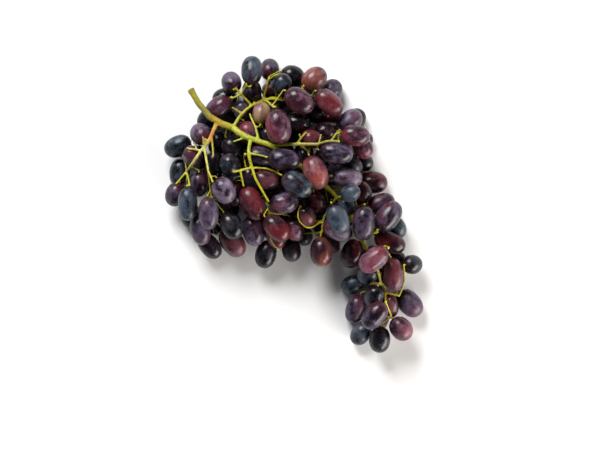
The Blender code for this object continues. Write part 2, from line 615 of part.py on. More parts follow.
def grow_pedicels(berries, stalk):
    """From the stalk end of each berry to the nearest branch, through the room between them."""
    grid = Grid(berries, stalk)
    free = free_cells(grid, berries)
    fine = []
    for chain in stalk["chains"]:
        points = stalk["point"][chain]
        share = np.linspace(0, 1, 7)[:, None, None]
        fine.append((points[:-1] * (1 - share) + points[1:] * share).reshape(-1, 3))
    fine = np.concatenate(fine)
    source = np.zeros(grid.shape, bool)
    source[tuple(grid.cell(fine).T)] = True
    steps = flood(free, source)
    pedicels = []
    for k, middle in enumerate(berries["middle"]):
        back = -berries["axis"][k]
        pole = middle + back * berries["half"][k]
        stem_end = pole + back * CLEAR
        bend = pole + back * PEDICEL_REACH
        cells = way_down(steps, grid.cell(bend))
        if cells is None:
            continue
        path = grid.point(cells)
        last = fine[np.linalg.norm(fine - path[-1], axis=1).argmin()]
        path = np.concatenate([[stem_end, bend], path[1:], [last]])
        tight = smoothed(path.copy(), berries, 2)
        near = close_berries(tight, berries)
        pairs = zip(tight[1:-1], tight[2:])
        if all(clear_run(a, b, berries, near, PEDICEL_RADIUS) for a, b in pairs):
            path = tight
        run = straightened(path[1:], berries, PEDICEL_RADIUS, PEDICEL_BOW)
        course = np.concatenate([[stem_end], run])
        radius = np.full(len(course), PEDICEL_RADIUS)
        radius[0] = PEDICEL_END
        sides = PEDICEL_SIDES if berries["shown"][k] else HIDDEN_SIDES
        pedicels.append(tube(course, radius, sides))
    return pedicels


def tube(course, radius, sides):
    """A closed tube along a course: its vertices and its faces."""
    ahead = unit(np.gradient(course, axis=0))
    side = np.zeros_like(ahead)
    level = np.cross(ahead[0], [0.0, 0.0, 1.0])
    side[0] = unit(level) if np.linalg.norm(level) > 0.1 else np.array([1.0, 0.0, 0.0])
    for k in range(1, len(course)):
        side[k] = unit(side[k - 1] - ahead[k] * (side[k - 1] @ ahead[k]))
    other = np.cross(ahead, side)
    angle = np.arange(sides) * 2 * math.pi / sides
    ring = np.cos(angle)[None, :, None] * side[:, None] + np.sin(angle)[None, :, None] * other[:, None]
    vertices = (course[:, None] + radius[:, None, None] * ring).reshape(-1, 3)
    faces = [
        (a + i, a + (i + 1) % sides, a + sides + (i + 1) % sides, a + sides + i)
        for a in range(0, (len(course) - 1) * sides, sides)
        for i in range(sides)
    ]
    last = (len(course) - 1) * sides
    faces.append(tuple(range(sides))[::-1])
    faces.append(tuple(range(last, last + sides)))
    return vertices, faces


def berry_shell(berries, k):
    """An ellipsoid of revolution, from its stalk end, with a line of vertices along its underside."""
    axis = berries["axis"][k]
    down = np.array([0.0, 0.0, -1.0])
    below = down - axis * (down @ axis)
    side = unit(below) if np.linalg.norm(below) > 0.05 else np.array([1.0, 0.0, 0.0])
    other = np.cross(axis, side)
    middle, half, radius = (berries[name][k] for name in ("middle", "half", "radius"))
    angle = np.arange(BERRY_SIDES) * 2 * math.pi / BERRY_SIDES
    tilt = (np.arange(BERRY_RINGS) + 1) * math.pi / (BERRY_RINGS + 1)
    round_part = np.cos(angle)[:, None] * side + np.sin(angle)[:, None] * other
    vertices = [middle - axis * half]
    for t in tilt:
        vertices.extend(middle - axis * half * math.cos(t) + round_part * radius * math.sin(t))
    vertices.append(middle + axis * half)
    n, last = BERRY_SIDES, BERRY_SIDES * BERRY_RINGS + 1
    faces = [(0, 1 + (i + 1) % n, 1 + i) for i in range(n)]
    for a in range(1, last - n, n):
        faces += [(a + i, a + (i + 1) % n, a + n + (i + 1) % n, a + n + i) for i in range(n)]
    faces += [(last, last - n + i, last - n + (i + 1) % n) for i in range(n)]
    return np.array(vertices), faces


def contact(berries, i, j):
    """A short column between the nearest points of two berries' middle lines."""
    u, v = berries["axis"][i], berries["axis"][j]
    p, q = berries["middle"][i], berries["middle"][j]
    h = berries["half"][i] - berries["radius"][i]
    k = berries["half"][j] - berries["radius"][j]
    away = closest(p, u, h, q, v, k)
    t = np.linspace(-1, 1, 81)[:, None]
    first, second = p + u * h * t, q + v * k * t
    one = np.linalg.norm((first - away)[:, None] - second[None], axis=2)
    a, b = np.unravel_index(one.argmin(), one.shape)
    ends = np.array([first[a], second[b]])
    return tube(ends, np.full(2, CONTACT_RADIUS), CONTACT_SIDES)


def gather(berries):
    """Groups of touching berries, few enough to be nodes, and the contacts in each group."""
    n = len(berries["half"])
    one, other = np.triu_indices(n, 1)
    reach = berries["half"] - berries["radius"]
    middle, axis = berries["middle"], berries["axis"]
    away = closest(middle[one], axis[one], reach[one], middle[other], axis[other], reach[other])
    gap = np.linalg.norm(away, axis=1) - berries["radius"][one] - berries["radius"][other]
    tone, region = np.array(berries["tone"]), np.array(berries["region"])
    cost = gap + OTHER_TONE * (tone[one] != tone[other]) + OTHER_REGION * (region[one] != region[other])
    order = [k for k in np.argsort(cost, kind="stable") if gap[k] < TOUCHING]
    group, contacts = {k: [k] for k in range(n)}, {k: [] for k in range(n)}
    owner = list(range(n))
    for most in GROUP_SIZES:
        for k in order:
            a, b = owner[one[k]], owner[other[k]]
            if len(group) <= MOST_NODES - 1:
                return [(group[a], contacts[a]) for a in group]
            if a == b or len(group[a]) + len(group[b]) > most:
                continue
            group[a] += group.pop(b)
            contacts[a] += contacts.pop(b) + [(one[k], other[k])]
            for member in group[a]:
                owner[member] = a
    return [(group[a], contacts[a]) for a in group]


def material(name, colour, roughness):
    made = bpy.data.materials.get(name) or bpy.data.materials.new(name)
    made.use_nodes = True
    made.diffuse_color = (*colour, 1.0)
    shader = made.node_tree.nodes["Principled BSDF"]
    shader.inputs["Base Color"].default_value = (*colour, 1.0)
    shader.inputs["Roughness"].default_value = roughness
    shader.inputs["Metallic"].default_value = 0.0
    return made


def mesh_object(name, shell, shift):
    """An object from one closed shell, in metres, cut flat where it meets the table."""
    vertices, faces = shell[0] - shift, shell[1]
    bm = bmesh.new()
    made = [bm.verts.new(Vector(v)) for v in vertices * MM]
    for face in faces:
        bm.faces.new([made[i] for i in face])
    if vertices[:, 2].min() < 0:
        flatten(bm)
    mesh = bpy.data.meshes.new(name)
    bm.to_mesh(mesh)
    bm.free()
    mesh.shade_smooth()
    obj = bpy.data.objects.new(name, mesh)
    bpy.context.scene.collection.objects.link(obj)
    return obj


def flatten(bm):
    """Cuts a shell level with the table and closes it."""
    cut = bmesh.ops.bisect_plane(
        bm,
        geom=list(bm.verts) + list(bm.edges) + list(bm.faces),
        plane_co=(0, 0, 0),
        plane_no=(0, 0, 1),
        clear_inner=True,
    )["geom_cut"]
    rim = [item for item in cut if isinstance(item, bmesh.types.BMEdge)]
    bmesh.ops.contextual_create(bm, geom=rim)
    bmesh.ops.recalc_face_normals(bm, faces=bm.faces)


def union(name, shells, shift, skin):
    """One closed body: the first shell joined with each of the others."""
    body = mesh_object(name, shells[0], shift)
    body.data.materials.append(material(*skin))
    for k, shell in enumerate(shells[1:]):
        other = mesh_object(f"{name}_{k}", shell, shift)
        other.hide_render = True
        other.display_type = "WIRE"
        joined = body.modifiers.new(f"Joined {k}", "BOOLEAN")
        joined.operation = "UNION"
        joined.solver = "MANIFOLD"
        joined.object = other
    return body


def name_groups(berries, groups):
    """A name for each group: the region of its highest berry, numbered from the stalk out."""
    counts, names = {}, []
    for members, _ in groups:
        top = max(members, key=lambda k: berries["middle"][k][2])
        region = berries["region"][top]
        counts[region] = counts.get(region, 0) + 1
        names.append(f"berries_{region}_{counts[region]:02d}")
    return names


def main():
    clear_scene()
    rng = np.random.default_rng(SEED)
    berries = with_bed(shown_berries(), rng)
    stalk = lay_stalk(berries)
    settle(berries, stalk)
    berries = without_squeezed(berries)
    settle(berries, stalk)
    branches = []
    for chain in stalk["chains"]:
        radius = stalk["radius"][chain]
        sides = RACHIS_SIDES if radius.max() > RACHIS_LEAST else BRANCH_SIDES
        course = stalk["point"][chain]
        kept = straightened(course, berries, radius.max(), BRANCH_BOW)
        at = [np.linalg.norm(course - p, axis=1).argmin() for p in kept]
        branches.append(tube(kept, radius[at], sides))
    pedicels = grow_pedicels(berries, stalk)
    shells = [berry_shell(berries, k) for k in range(len(berries["half"]))]
    every = np.concatenate([vertices for vertices, _ in shells + branches])
    shift = (every.min(axis=0) + every.max(axis=0)) / 2
    shift[2] = SINK
    union("stem", branches + pedicels, shift, STEM_GREEN)
    groups = gather(berries)
    for name, (members, contacts) in zip(name_groups(berries, groups), groups):
        columns = [contact(berries, i, j) for i, j in contacts]
        tones = [berries["tone"][k] for k in members]
        skin = SKINS[max(sorted(set(tones)), key=tones.count)]
        union(name, [shells[k] for k in members] + columns, shift, skin)


if __name__ == "__main__":
    main()
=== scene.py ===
"""The looks of a bunch of dark table grapes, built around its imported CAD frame.

Each berry of the frame is read back as an ellipsoid and drawn as a fuller, slightly uneven
grape with a waxy bloom; the stalk is rounded and swollen at its knuckles.
"""

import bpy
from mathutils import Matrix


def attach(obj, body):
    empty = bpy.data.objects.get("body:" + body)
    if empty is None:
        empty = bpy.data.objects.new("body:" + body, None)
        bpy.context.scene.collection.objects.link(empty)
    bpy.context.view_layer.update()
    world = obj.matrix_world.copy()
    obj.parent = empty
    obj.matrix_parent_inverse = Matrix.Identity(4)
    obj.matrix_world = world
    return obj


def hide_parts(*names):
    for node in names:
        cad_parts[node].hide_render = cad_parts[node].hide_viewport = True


bl_info = {
    "name": "Bunch of grapes",
    "version": (1, 0, 0),
    "blender": (4, 5, 0),
    "location": "View3D > Sidebar > Grapes",
    "description": "Draws a bunch of table grapes around its CAD frame",
    "category": "Add Mesh",
}

import math

import bpy
import numpy as np
from mathutils import Vector

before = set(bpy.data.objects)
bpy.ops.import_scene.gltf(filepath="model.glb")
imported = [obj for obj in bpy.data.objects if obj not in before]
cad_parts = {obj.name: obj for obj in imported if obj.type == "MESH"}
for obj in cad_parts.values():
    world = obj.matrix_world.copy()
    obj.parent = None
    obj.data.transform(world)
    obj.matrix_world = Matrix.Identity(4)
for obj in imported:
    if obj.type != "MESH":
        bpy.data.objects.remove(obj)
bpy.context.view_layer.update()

MM = 0.001

# The colours of skin seen on the bunch. Each is the rubbed skin, the redder skin that has had
# less sun, the bloom, how much of the skin the bloom covers, and the share of redder skin.
SKINS = {
    "black": ("#08070b", "#1f0e16", "#363844", 0.46, 0.40),
    "slate": ("#0b0d13", "#2c1a25", "#4b5767", 0.55, 0.30),
    "plum": ("#120a17", "#421a27", "#5f5168", 0.53, 0.40),
    "lilac": ("#1d0f1e", "#512736", "#85748a", 0.56, 0.40),
    "wine": ("#1b0911", "#55181d", "#6d4a57", 0.47, 0.62),
    "rose": ("#2d111d", "#662833", "#7f5b70", 0.49, 0.58),
    "salmon": ("#481f29", "#8f4239", "#a27880", 0.47, 0.68),
    "russet": ("#25111a", "#6c3830", "#7c626b", 0.45, 0.72),
    "green": ("#503237", "#947a48", "#987a80", 0.42, 0.75),
}

# Where the berries of each colour lie: x and y of the berry on top there, in millimetres.
LOOKS = {
    "slate": [(-38, 121), (-12, 111), (-103, 51), (-103, 34), (-58, 37), (-94, 2), (39, -12), (3, 21),
              (51, 11), (93, -20), (69, -64), (58, -72), (63, -117), (50, 0), (-6, -35)],
    "black": [(-1, 119), (-61, 97), (-76, 79), (-86, 38), (-67, 55), (-54, 53), (-56, -18), (-95, -9),
              (62, 39), (53, 38), (-23, -41), (80, -121), (104, -55), (74, -79), (-72, 36), (13, 101),
              (7, 3), (8, -27)],
    "plum": [(-54, 112), (-66, 88), (-85, 64), (-108, 11), (-84, 18), (-74, -7), (-84, -22), (-76, -35),
             (-10, 40), (-28, 42), (50, 76), (57, 78), (85, -11), (63, -16), (79, 1), (73, -98),
             (61, -93), (-38, 102), (35, 106), (-21, 121), (104, -91), (36, 48), (-37, -23), (-59, 79)],
    "lilac": [(-92, 43), (-10, 1), (50, 25), (-64, 13), (40, -22)],
    "wine": [(30, 92), (-57, -34), (88, -32), (90, -63), (64, 12), (71, 26), (55, -45), (-36, 2),
             (-24, 23), (-10, 17), (88, -93), (-15, -21)],
    "rose": [(-14, 71), (5, 92), (55, 60), (73, -50), (96, -110), (1, -22), (61, 52), (-41, 68)],
    "salmon": [(22, 32)],
    "russet": [(19, 115), (25, -40)],
    "green": [(-28, 84)],
}
REST_OF_BUNCH = ("black", "plum", "black", "wine")
NEAR_ENOUGH = 7.0
LOWER_PER_MM = 2

# Reading a berry back: how finely points are told apart, how far a face rises over its
# neighbour's plane where two berries meet, the height that is clear of the table, the fewest
# points that make a berry, and the unit of length that keeps its fit exact. In millimetres.
WELDS_PER_MM = 500
INWARD_RISE = 0.03
OFF_TABLE = 0.05
FEWEST_POINTS = 12
FIT_UNIT = 10

# The shape of a grape, in millimetres and shares of its radius.
LONG_GRAPE = 0.6
TAPER = (-0.02, 0.03)
DIMPLE_REACH, DIMPLE_DEPTH = 1.7, 0.15
SCAR_REACH, SCAR_HEIGHT = 0.5, 0.15
ASKEW = (0.31, 0.52, 0.79)
ALL_ROUND = 6.28

# The grain runs along the grape, so it is a little longer that way. Each grape takes another
# piece of the pattern, within this many millimetres.
GRAIN_STRETCH = 0.75
GRAIN_SPREAD = 90

# How the colour changes over one grape: the sunny side, uneven by slow waves; the stalk end,
# redder and with less bloom; and the dark tip.
SHADE, SHADE_SPREAD = 0.96, 0.15
SUNNY_SHARE, WAVY_SHARE, WAVES = 0.5, 0.6, 1.4
STALK_END, STALK_END_POWER = 0.35, 1.5
TIP, TIP_SHADE = 0.985, 0.3
RED_IN_BLOOM, BLOOM_REDDENS = 1.25, 0.35
STALK_END_BARE, COVER_SPREAD = 0.22, 0.10

# The patterns on the skin, as a count for each millimetre: patches of bloom 7 mm across,
# streaks of 1.2 mm, dust of 0.5 mm and pale dots 2 mm apart. The stalk's mottling is 2.4 mm.
PATCHES, STREAKS, DUST, DOTS = 0.15, 0.85, 2.2, 0.55
MOTTLES_PER_METRE = 420.0
DOT_COLOUR = "#94727a"

# The stalk in millimetres: what is taken off again of its thickening, as a share; how each
# point is drawn out and back; the swelling of its knuckles and its cut end; and its colour.
TAKEN_OFF = 0.6
DRAWN, DRAWN_BACK = 0.6, -0.5
KNUCKLES = 0.08
CUT_END, CUT_END_REACH, CUT_END_FLARE = (-93.5, 105.0), 4.0, 0.9
STALK_COLOUR = "#b3ac20"

# Tints of the stalk where it isn't its plain yellow-green: x, y, reach in millimetres, colour.
STEM_TINTS = [
    (-79, 86, 24, "#7f782c"),
    (-72, 70, 9, "#c49c38"),
    (-73, 62, 6, "#c4742a"),
    (-40, 59, 16, "#a8b034"),
    (-90, 45, 16, "#c2ba6c"),
    (-94.5, 107, 4.2, "#5f4426"),
    (20, 60, 26, "#948d38"),
    (84, -82, 10, "#cdb334"),
    (72, -72, 9, "#7a6c34"),
]

# The stage, in metres. A light is its place, its size and its colour.
TABLE_HALF, TABLE_DROP, TABLE_ROUGHNESS = 3, 0.0002, 0.7
WINDOW = ((-0.55, 1.30, 1.15), (0.9, 0.9), "#ffffff")
REFLECTOR = ((1.05, -0.85, 0.42), (1.5, 0.6), "#fffaf4")
HORIZON_TO_ZENITH = (0.15, 0.75)


def srgb(colour):
    """Linear colour of an sRGB hex value."""
    value = np.array([int(colour[k : k + 2], 16) for k in (1, 3, 5)]) / 255
    return np.where(value <= 0.04045, value / 12.92, ((value + 0.055) / 1.055) ** 2.4)


def unit(v):
    """Each vector at length one."""
    return v / np.maximum(np.linalg.norm(v, axis=-1, keepdims=True), 1e-12)


# ---- Reading the berries back from the frame ---------------------------------------------
def welded(node):
    """A node's points, each once, in millimetres, and its triangles."""
    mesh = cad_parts[node].data
    points = np.empty(len(mesh.vertices) * 3)
    mesh.vertices.foreach_get("co", points)
    mesh.calc_loop_triangles()
    faces = np.empty(len(mesh.loop_triangles) * 3, np.int64)
    mesh.loop_triangles.foreach_get("vertices", faces)
    points = points.reshape(-1, 3) / MM
    _, first, index = np.unique(
        np.round(points * WELDS_PER_MM).astype(np.int64), axis=0, return_index=True, return_inverse=True
    )
    faces = index.reshape(-1)[faces].reshape(-1, 3)
    whole = (faces[:, 0] != faces[:, 1]) & (faces[:, 1] != faces[:, 2]) & (faces[:, 0] != faces[:, 2])
    return points[first], faces[whole]


def joined(count, a, b):
    """A number for each item, the same for all the items that the pairs (a, b) join."""
    label = np.arange(count)
    while True:
        before = label.copy()
        low = np.minimum(label[a], label[b])
        np.minimum.at(label, a, low)
        np.minimum.at(label, b, low)
        label = label[label]
        if (before == label).all():
            return label


def shells(points, faces):
    """The points of each berry: the faces are parted along every edge that turns inwards."""
    a, b, c = (points[faces[:, k]] for k in range(3))
    normal = unit(np.cross(b - a, c - a))

    # The two faces at each edge, and the corner of the second that isn't on it.
    ends = np.concatenate([faces[:, [0, 1]], faces[:, [1, 2]], faces[:, [2, 0]]])
    owner = np.tile(np.arange(len(faces)), 3)
    third = np.concatenate([faces[:, 2], faces[:, 0], faces[:, 1]])
    key = np.sort(ends, axis=1)
    order = np.lexsort((key[:, 1], key[:, 0]))
    key, owner, third = key[order], owner[order], third[order]
    same = np.flatnonzero((key[1:] == key[:-1]).all(axis=1))
    one, other, edge = owner[same], owner[same + 1], key[same]
    rise = ((points[third[same + 1]] - points[edge[:, 0]]) * normal[one]).sum(axis=1)
    inward = rise > INWARD_RISE
    label = joined(len(faces), one[~inward], other[~inward])
    seam = np.unique(edge[inward])
    found = []
    for value in np.unique(label):
        own = np.setdiff1d(np.unique(faces[label == value]), seam)
        own = own[points[own, 2] > OFF_TABLE]
        if len(own) >= FEWEST_POINTS:
            found.append(points[own])
    return found


def ellipsoid(points):
    """Middle, long axis, half length and radius of the ellipsoid nearest the points.

    It is the surface of degree two, x'Fx + 2g'x = 1, that fits them by least squares."""
    middle = points.mean(axis=0)
    x, y, z = (points - middle).T / FIT_UNIT
    rows = np.stack([x * x, y * y, z * z, 2 * x * y, 2 * x * z, 2 * y * z, 2 * x, 2 * y, 2 * z], axis=1)
    a, b, c, d, e, f, g, h, i = np.linalg.lstsq(rows, np.ones(len(points)), rcond=None)[0]
    form = np.array([[a, d, e], [d, b, f], [e, f, c]])
    centre = -np.linalg.solve(form, np.array([g, h, i]))
    form = form / (1 + centre @ form @ centre)
    value, vector = np.linalg.eigh(form)
    half = FIT_UNIT / np.sqrt(value)
    return middle + FIT_UNIT * centre, vector[:, 0], half[0], (half[1] + half[2]) / 2


def read_berries(node, stem_points):
    """The berries of a node. The stalk end of each is the pole that a pedicel comes to."""
    berries = []
    for points in shells(*welded(node)):
        middle, axis, half, radius = ellipsoid(points)
        poles = np.array([middle - axis * half, middle + axis * half])
        gap = np.linalg.norm(stem_points[:, None] - poles[None], axis=2).min(axis=0)
        berries.append((middle, axis if gap[0] < gap[1] else -axis, half, radius))
    return berries


# ---- Surfaces ----------------------------------------------------------------------------
def put_mesh(name, vertices, quads, triangles=()):
    """A smooth mesh object, from points in millimetres."""
    mesh = bpy.data.meshes.new(name)
    faces = np.asarray(quads).tolist() + np.asarray(triangles).tolist()
    mesh.from_pydata((np.asarray(vertices) * MM).tolist(), [], faces)
    mesh.shade_smooth()
    mesh.update()
    obj = bpy.data.objects.new(name, mesh)
    bpy.context.scene.collection.objects.link(obj)
    return obj


def put_attribute(obj, name, kind, values):
    """One value for each vertex: a colour or a vector."""
    made = obj.data.attributes.new(name, kind, "POINT")
    made.data.foreach_set("color" if kind == "FLOAT_COLOR" else "vector", np.ravel(values))


def wobble(direction, phase):
    """A smooth unevenness over the directions of a ball: a few slow waves with set phases."""
    x, y, z = direction[..., 0], direction[..., 1], direction[..., 2]
    return (
        np.sin(2.1 * x + 1.7 * y + phase[0])
        + np.sin(2.6 * y - 1.3 * z + phase[1])
        + np.sin(2.3 * z + 1.9 * x + phase[2])
    ) / 3


def grape_faces(rings, sides):
    """Quads between neighbouring rings and triangles to the two poles."""
    ring = np.arange(rings - 1)[:, None] * sides + 1
    step = np.arange(sides)[None]
    after = (step + 1) % sides
    quads = np.stack([ring + step, ring + after, ring + sides + after, ring + sides + step], axis=-1)
    last = (rings - 1) * sides + 1
    step, after = step[0], after[0]
    start = np.stack([np.zeros_like(step), 1 + after, 1 + step], axis=1)
    end = np.stack([np.full_like(step, rings * sides + 1), last + step, last + after], axis=1)
    return quads.reshape(-1, 4), np.concatenate([start, end])


def grape(middle, axis, half, radius, settings, rng):
    """Points of one grape on a grid of rings and sides, and where each lies on the skin.

    A superellipse turned about the long axis: the distance along the axis is a power of the
    cosine of the ring's angle and the distance from it the same power of the sine, which is
    fuller than an ellipse. A slow unevenness, a slight taper, a dimple round the pedicel and
    a small raised scar at the tip are added, and the table flattens what lies on it."""
    rings, sides = settings.rings, settings.sides
    power = 2 + settings.fullness * min(half / radius - 1, LONG_GRAPE)
    t = (np.arange(rings) + 1) * math.pi / (rings + 1)
    t = np.concatenate([[0], np.repeat(t, sides), [math.pi]])
    turn = np.concatenate([[0], np.tile(np.arange(sides) * 2 * math.pi / sides, rings), [0]])
    along = -np.sign(np.cos(t)) * np.abs(np.cos(t)) ** (2 / power)
    across = np.abs(np.sin(t)) ** (2 / power)
    lie = np.stack([along, across * np.cos(turn), across * np.sin(turn)], axis=1)
    swell = 1 + settings.unevenness * wobble(lie, rng.uniform(0, ALL_ROUND, 3))
    swell += rng.uniform(*TAPER) * along
    dimple = np.exp(-((across * radius / DIMPLE_REACH) ** 2)) * (along < 0)
    scar = np.exp(-((across * radius / SCAR_REACH) ** 2)) * (along > 0)
    run = along * half + DIMPLE_DEPTH * dimple + SCAR_HEIGHT * scar
    out = across * radius * swell
    side = unit(np.cross(axis, ASKEW))
    other = np.cross(axis, side)
    points = middle + run[:, None] * axis + out[:, None] * (
        np.cos(turn)[:, None] * side + np.sin(turn)[:, None] * other
    )
    points[:, 2] = np.maximum(points[:, 2], 0.0)
    grain = np.stack([run * GRAIN_STRETCH, out * np.cos(turn), out * np.sin(turn)], axis=1)
    return points, lie, grain + rng.uniform(-GRAIN_SPREAD, GRAIN_SPREAD, 3)


def skin_colours(look, lie, rng):
    """Skin and bloom at each point: redder towards one side and round the pedicel.

    The skin's fourth channel is how much of it the bloom covers."""
    rubbed, red, bloom, cover, share = SKINS[look]
    rubbed, red, bloom = srgb(rubbed), srgb(red), srgb(bloom)
    shade = SHADE + SHADE_SPREAD * rng.uniform(-1, 1)
    sunny = unit(rng.normal(size=3))
    waves = wobble(lie * WAVES, rng.uniform(0, ALL_ROUND, 3))
    side = SUNNY_SHARE * lie @ sunny + WAVY_SHARE * waves + 0.5
    stalk_end = np.clip((-lie[:, 0] - STALK_END) / (1 - STALK_END), 0, 1) ** STALK_END_POWER
    reddening = np.clip((side - 1 + share) / 0.5 + 0.5 * stalk_end, 0, 1)[:, None]
    tip = np.where(lie[:, :1] > TIP, TIP_SHADE, 1.0)
    skin = (rubbed + (red - rubbed) * reddening) * tip
    bloom = (bloom + (red * RED_IN_BLOOM - bloom) * BLOOM_REDDENS * reddening) * shade * tip
    cover = cover - STALK_END_BARE * stalk_end + COVER_SPREAD * rng.uniform(-1, 1)
    ones = np.ones((len(lie), 1))
    return np.hstack([skin, cover[:, None]]), np.hstack([bloom, ones])


def looks_of(berries, rng):
    """The look of each berry: that of the nearest listed place where it is the berry on top."""
    middle = np.array([berry[0] for berry in berries])
    looks = [None] * len(berries)
    for look, places in LOOKS.items():
        for place in places:
            gap = np.linalg.norm(middle[:, :2] - place, axis=1)
            close = np.flatnonzero(gap < NEAR_ENOUGH)
            if len(close):
                looks[close[np.argmax(middle[close, 2] - LOWER_PER_MM * gap[close])]] = look
    choice = rng.integers(len(REST_OF_BUNCH), size=len(berries))
    return [look or REST_OF_BUNCH[k] for look, k in zip(looks, choice)]


# ---- Materials ---------------------------------------------------------------------------
def new_material(name):
    """An empty material and its node tree."""
    made = bpy.data.materials.new(name)
    made.use_nodes = True
    tree = made.node_tree
    tree.nodes.clear()
    return made, tree


def add_node(tree, kind, inputs=(), **settings):
    """Adds a node. Each input is (socket, value or output socket)."""
    node = tree.nodes.new(kind)
    for name, value in settings.items():
        setattr(node, name, value)
    for socket, value in inputs:
        if isinstance(value, bpy.types.NodeSocket):
            tree.links.new(value, node.inputs[socket])
        else:
            node.inputs[socket].default_value = value
    return node


def spread(tree, value, start, end, to_start=0.0, to_end=1.0, **settings):
    """A value taken from one range to another."""
    ends = [("From Min", start), ("From Max", end), ("To Min", to_start), ("To Max", to_end)]
    return add_node(tree, "ShaderNodeMapRange", [("Value", value), *ends], **settings).outputs[0]


def noise(tree, place, scale, detail, *more):
    """Soft noise with this many waves for each unit of length."""
    inputs = [("Vector", place), ("Scale", scale), ("Detail", detail), *more]
    return add_node(tree, "ShaderNodeTexNoise", inputs).outputs["Fac"]


def scaled(tree, colour, factor):
    """A colour made darker or paler by a factor."""
    inputs = [(0, colour), ("Scale", factor)]
    return add_node(tree, "ShaderNodeVectorMath", inputs, operation="SCALE").outputs[0]


def mixed(tree, share, first, second):
    """The first colour where the share is 0 and the second where it is 1."""
    inputs = [(0, share), (6, first), (7, second)]
    return add_node(tree, "ShaderNodeMix", inputs, data_type="RGBA").outputs[2]


def finished(tree, inputs):
    """Ends a material with its shader."""
    shader = add_node(tree, "ShaderNodeBsdfPrincipled", inputs)
    add_node(tree, "ShaderNodeOutputMaterial", [("Surface", shader.outputs[0])])


def grape_skin(settings):
    """Ripe grape skin: taut, dark and glossy where it was rubbed, under a dusty wax bloom.

    The bloom dulls the shine and greys the colour. It breaks up into patches a few millimetres
    across, with fine streaks in them, and pale dots show through it."""
    made, tree = new_material("grape_skin_waxy_bloom")
    bare = add_node(tree, "ShaderNodeAttribute", attribute_name="bare").outputs
    bloom = add_node(tree, "ShaderNodeAttribute", attribute_name="bloom").outputs
    grain = add_node(tree, "ShaderNodeAttribute", attribute_name="grain").outputs["Vector"]

    # How much bloom lies on the skin: the grape's own share, raised and lowered by the patches.
    patches = noise(tree, grain, PATCHES, 3.0, ("Roughness", 0.55), ("Distortion", 0.3))
    streaks = noise(tree, grain, STREAKS, 2.0)
    uneven = add_node(
        tree, "ShaderNodeMath", [(0, streaks), (1, 0.20), (2, patches)], operation="MULTIPLY_ADD"
    ).outputs[0]
    level = add_node(
        tree, "ShaderNodeMath", [(0, bare["Alpha"]), (1, uneven)], operation="ADD"
    ).outputs[0]
    cover = spread(tree, level, 0.94, 1.38, interpolation_type="SMOOTHSTEP")
    cover = add_node(
        tree, "ShaderNodeMath", [(0, cover), (1, settings.bloom)], operation="MULTIPLY"
    ).outputs[0]

    # The colour: dusty bloom over bare skin, and the dots over both.
    dusty = scaled(tree, bloom["Color"], spread(tree, streaks, 0.3, 0.7, 0.78, 1.26))
    colour = mixed(tree, cover, bare["Color"], dusty)
    dots = add_node(
        tree, "ShaderNodeTexVoronoi", [("Vector", grain), ("Scale", DOTS), ("Randomness", 1.0)]
    ).outputs["Distance"]
    colour = mixed(tree, spread(tree, dots, 0.06, 0.20, 0.30, 0.0), colour, (*srgb(DOT_COLOUR), 1.0))

    bump = add_node(
        tree,
        "ShaderNodeBump",
        [("Height", noise(tree, grain, DUST, 2.0)), ("Strength", 0.12), ("Distance", 0.0002)],
    ).outputs[0]
    finished(tree, [
        ("Base Color", colour),
        ("Roughness", spread(tree, cover, 0.0, 1.0, 0.24, 0.46)),
        ("Normal", bump),
        ("IOR", 1.38),
        ("Subsurface Weight", settings.flesh),
        ("Subsurface Radius", (0.0030, 0.0012, 0.0008)),
        ("Subsurface Scale", 1.0),
    ])
    return made


def stem_skin():
    """Green grape stalk: soft satin bark, its yellow-green mottled paler and darker."""
    made, tree = new_material("grape_stalk_green")
    tint = add_node(tree, "ShaderNodeAttribute", attribute_name="tint").outputs["Color"]
    place = add_node(tree, "ShaderNodeTexCoord").outputs["Object"]
    mottle = noise(tree, place, MOTTLES_PER_METRE, 3.0)
    bump = add_node(
        tree, "ShaderNodeBump", [("Height", mottle), ("Strength", 0.5), ("Distance", 0.0004)]
    ).outputs[0]
    finished(tree, [
        ("Base Color", scaled(tree, tint, spread(tree, mottle, 0.3, 0.7, 0.72, 1.18))),
        ("Roughness", 0.48),
        ("Normal", bump),
        ("Subsurface Weight", 0.08),
        ("Subsurface Radius", (0.0010, 0.0010, 0.0004)),
        ("Subsurface Scale", 1.0),
    ])
    return made


def plain(name, colour, roughness):
    """Matt painted board or paper: even, with no shine to speak of."""
    made, tree = new_material(name)
    finished(tree, [("Base Color", (*colour, 1.0)), ("Roughness", roughness)])
    return made


# ---- Stalk -------------------------------------------------------------------------------
def even_cells(points, faces, cell):
    """A closed shell remade in quads of about this size: its points in millimetres, and the quads.

    Specks that the remaking leaves beside the main piece are dropped."""
    source = put_mesh("stalk_source", points, (), faces)
    remesh = source.modifiers.new("Even", "REMESH")
    remesh.mode = "VOXEL"
    remesh.voxel_size = cell
    graph = bpy.context.evaluated_depsgraph_get()
    mesh = bpy.data.meshes.new_from_object(source.evaluated_get(graph))
    bpy.data.objects.remove(source)
    points = np.empty(len(mesh.vertices) * 3)
    mesh.vertices.foreach_get("co", points)
    points = points.reshape(-1, 3) / MM
    quads = np.empty(len(mesh.loops), np.int64)
    mesh.loops.foreach_get("vertex_index", quads)
    quads = quads.reshape(-1, 4)
    bpy.data.meshes.remove(mesh)
    label = joined(len(points), quads.ravel(), np.roll(quads, -1, axis=1).ravel())
    keep = label == np.bincount(label).argmax()
    index = np.cumsum(keep) - 1
    return points[keep], index[quads[keep[quads[:, 0]]]]


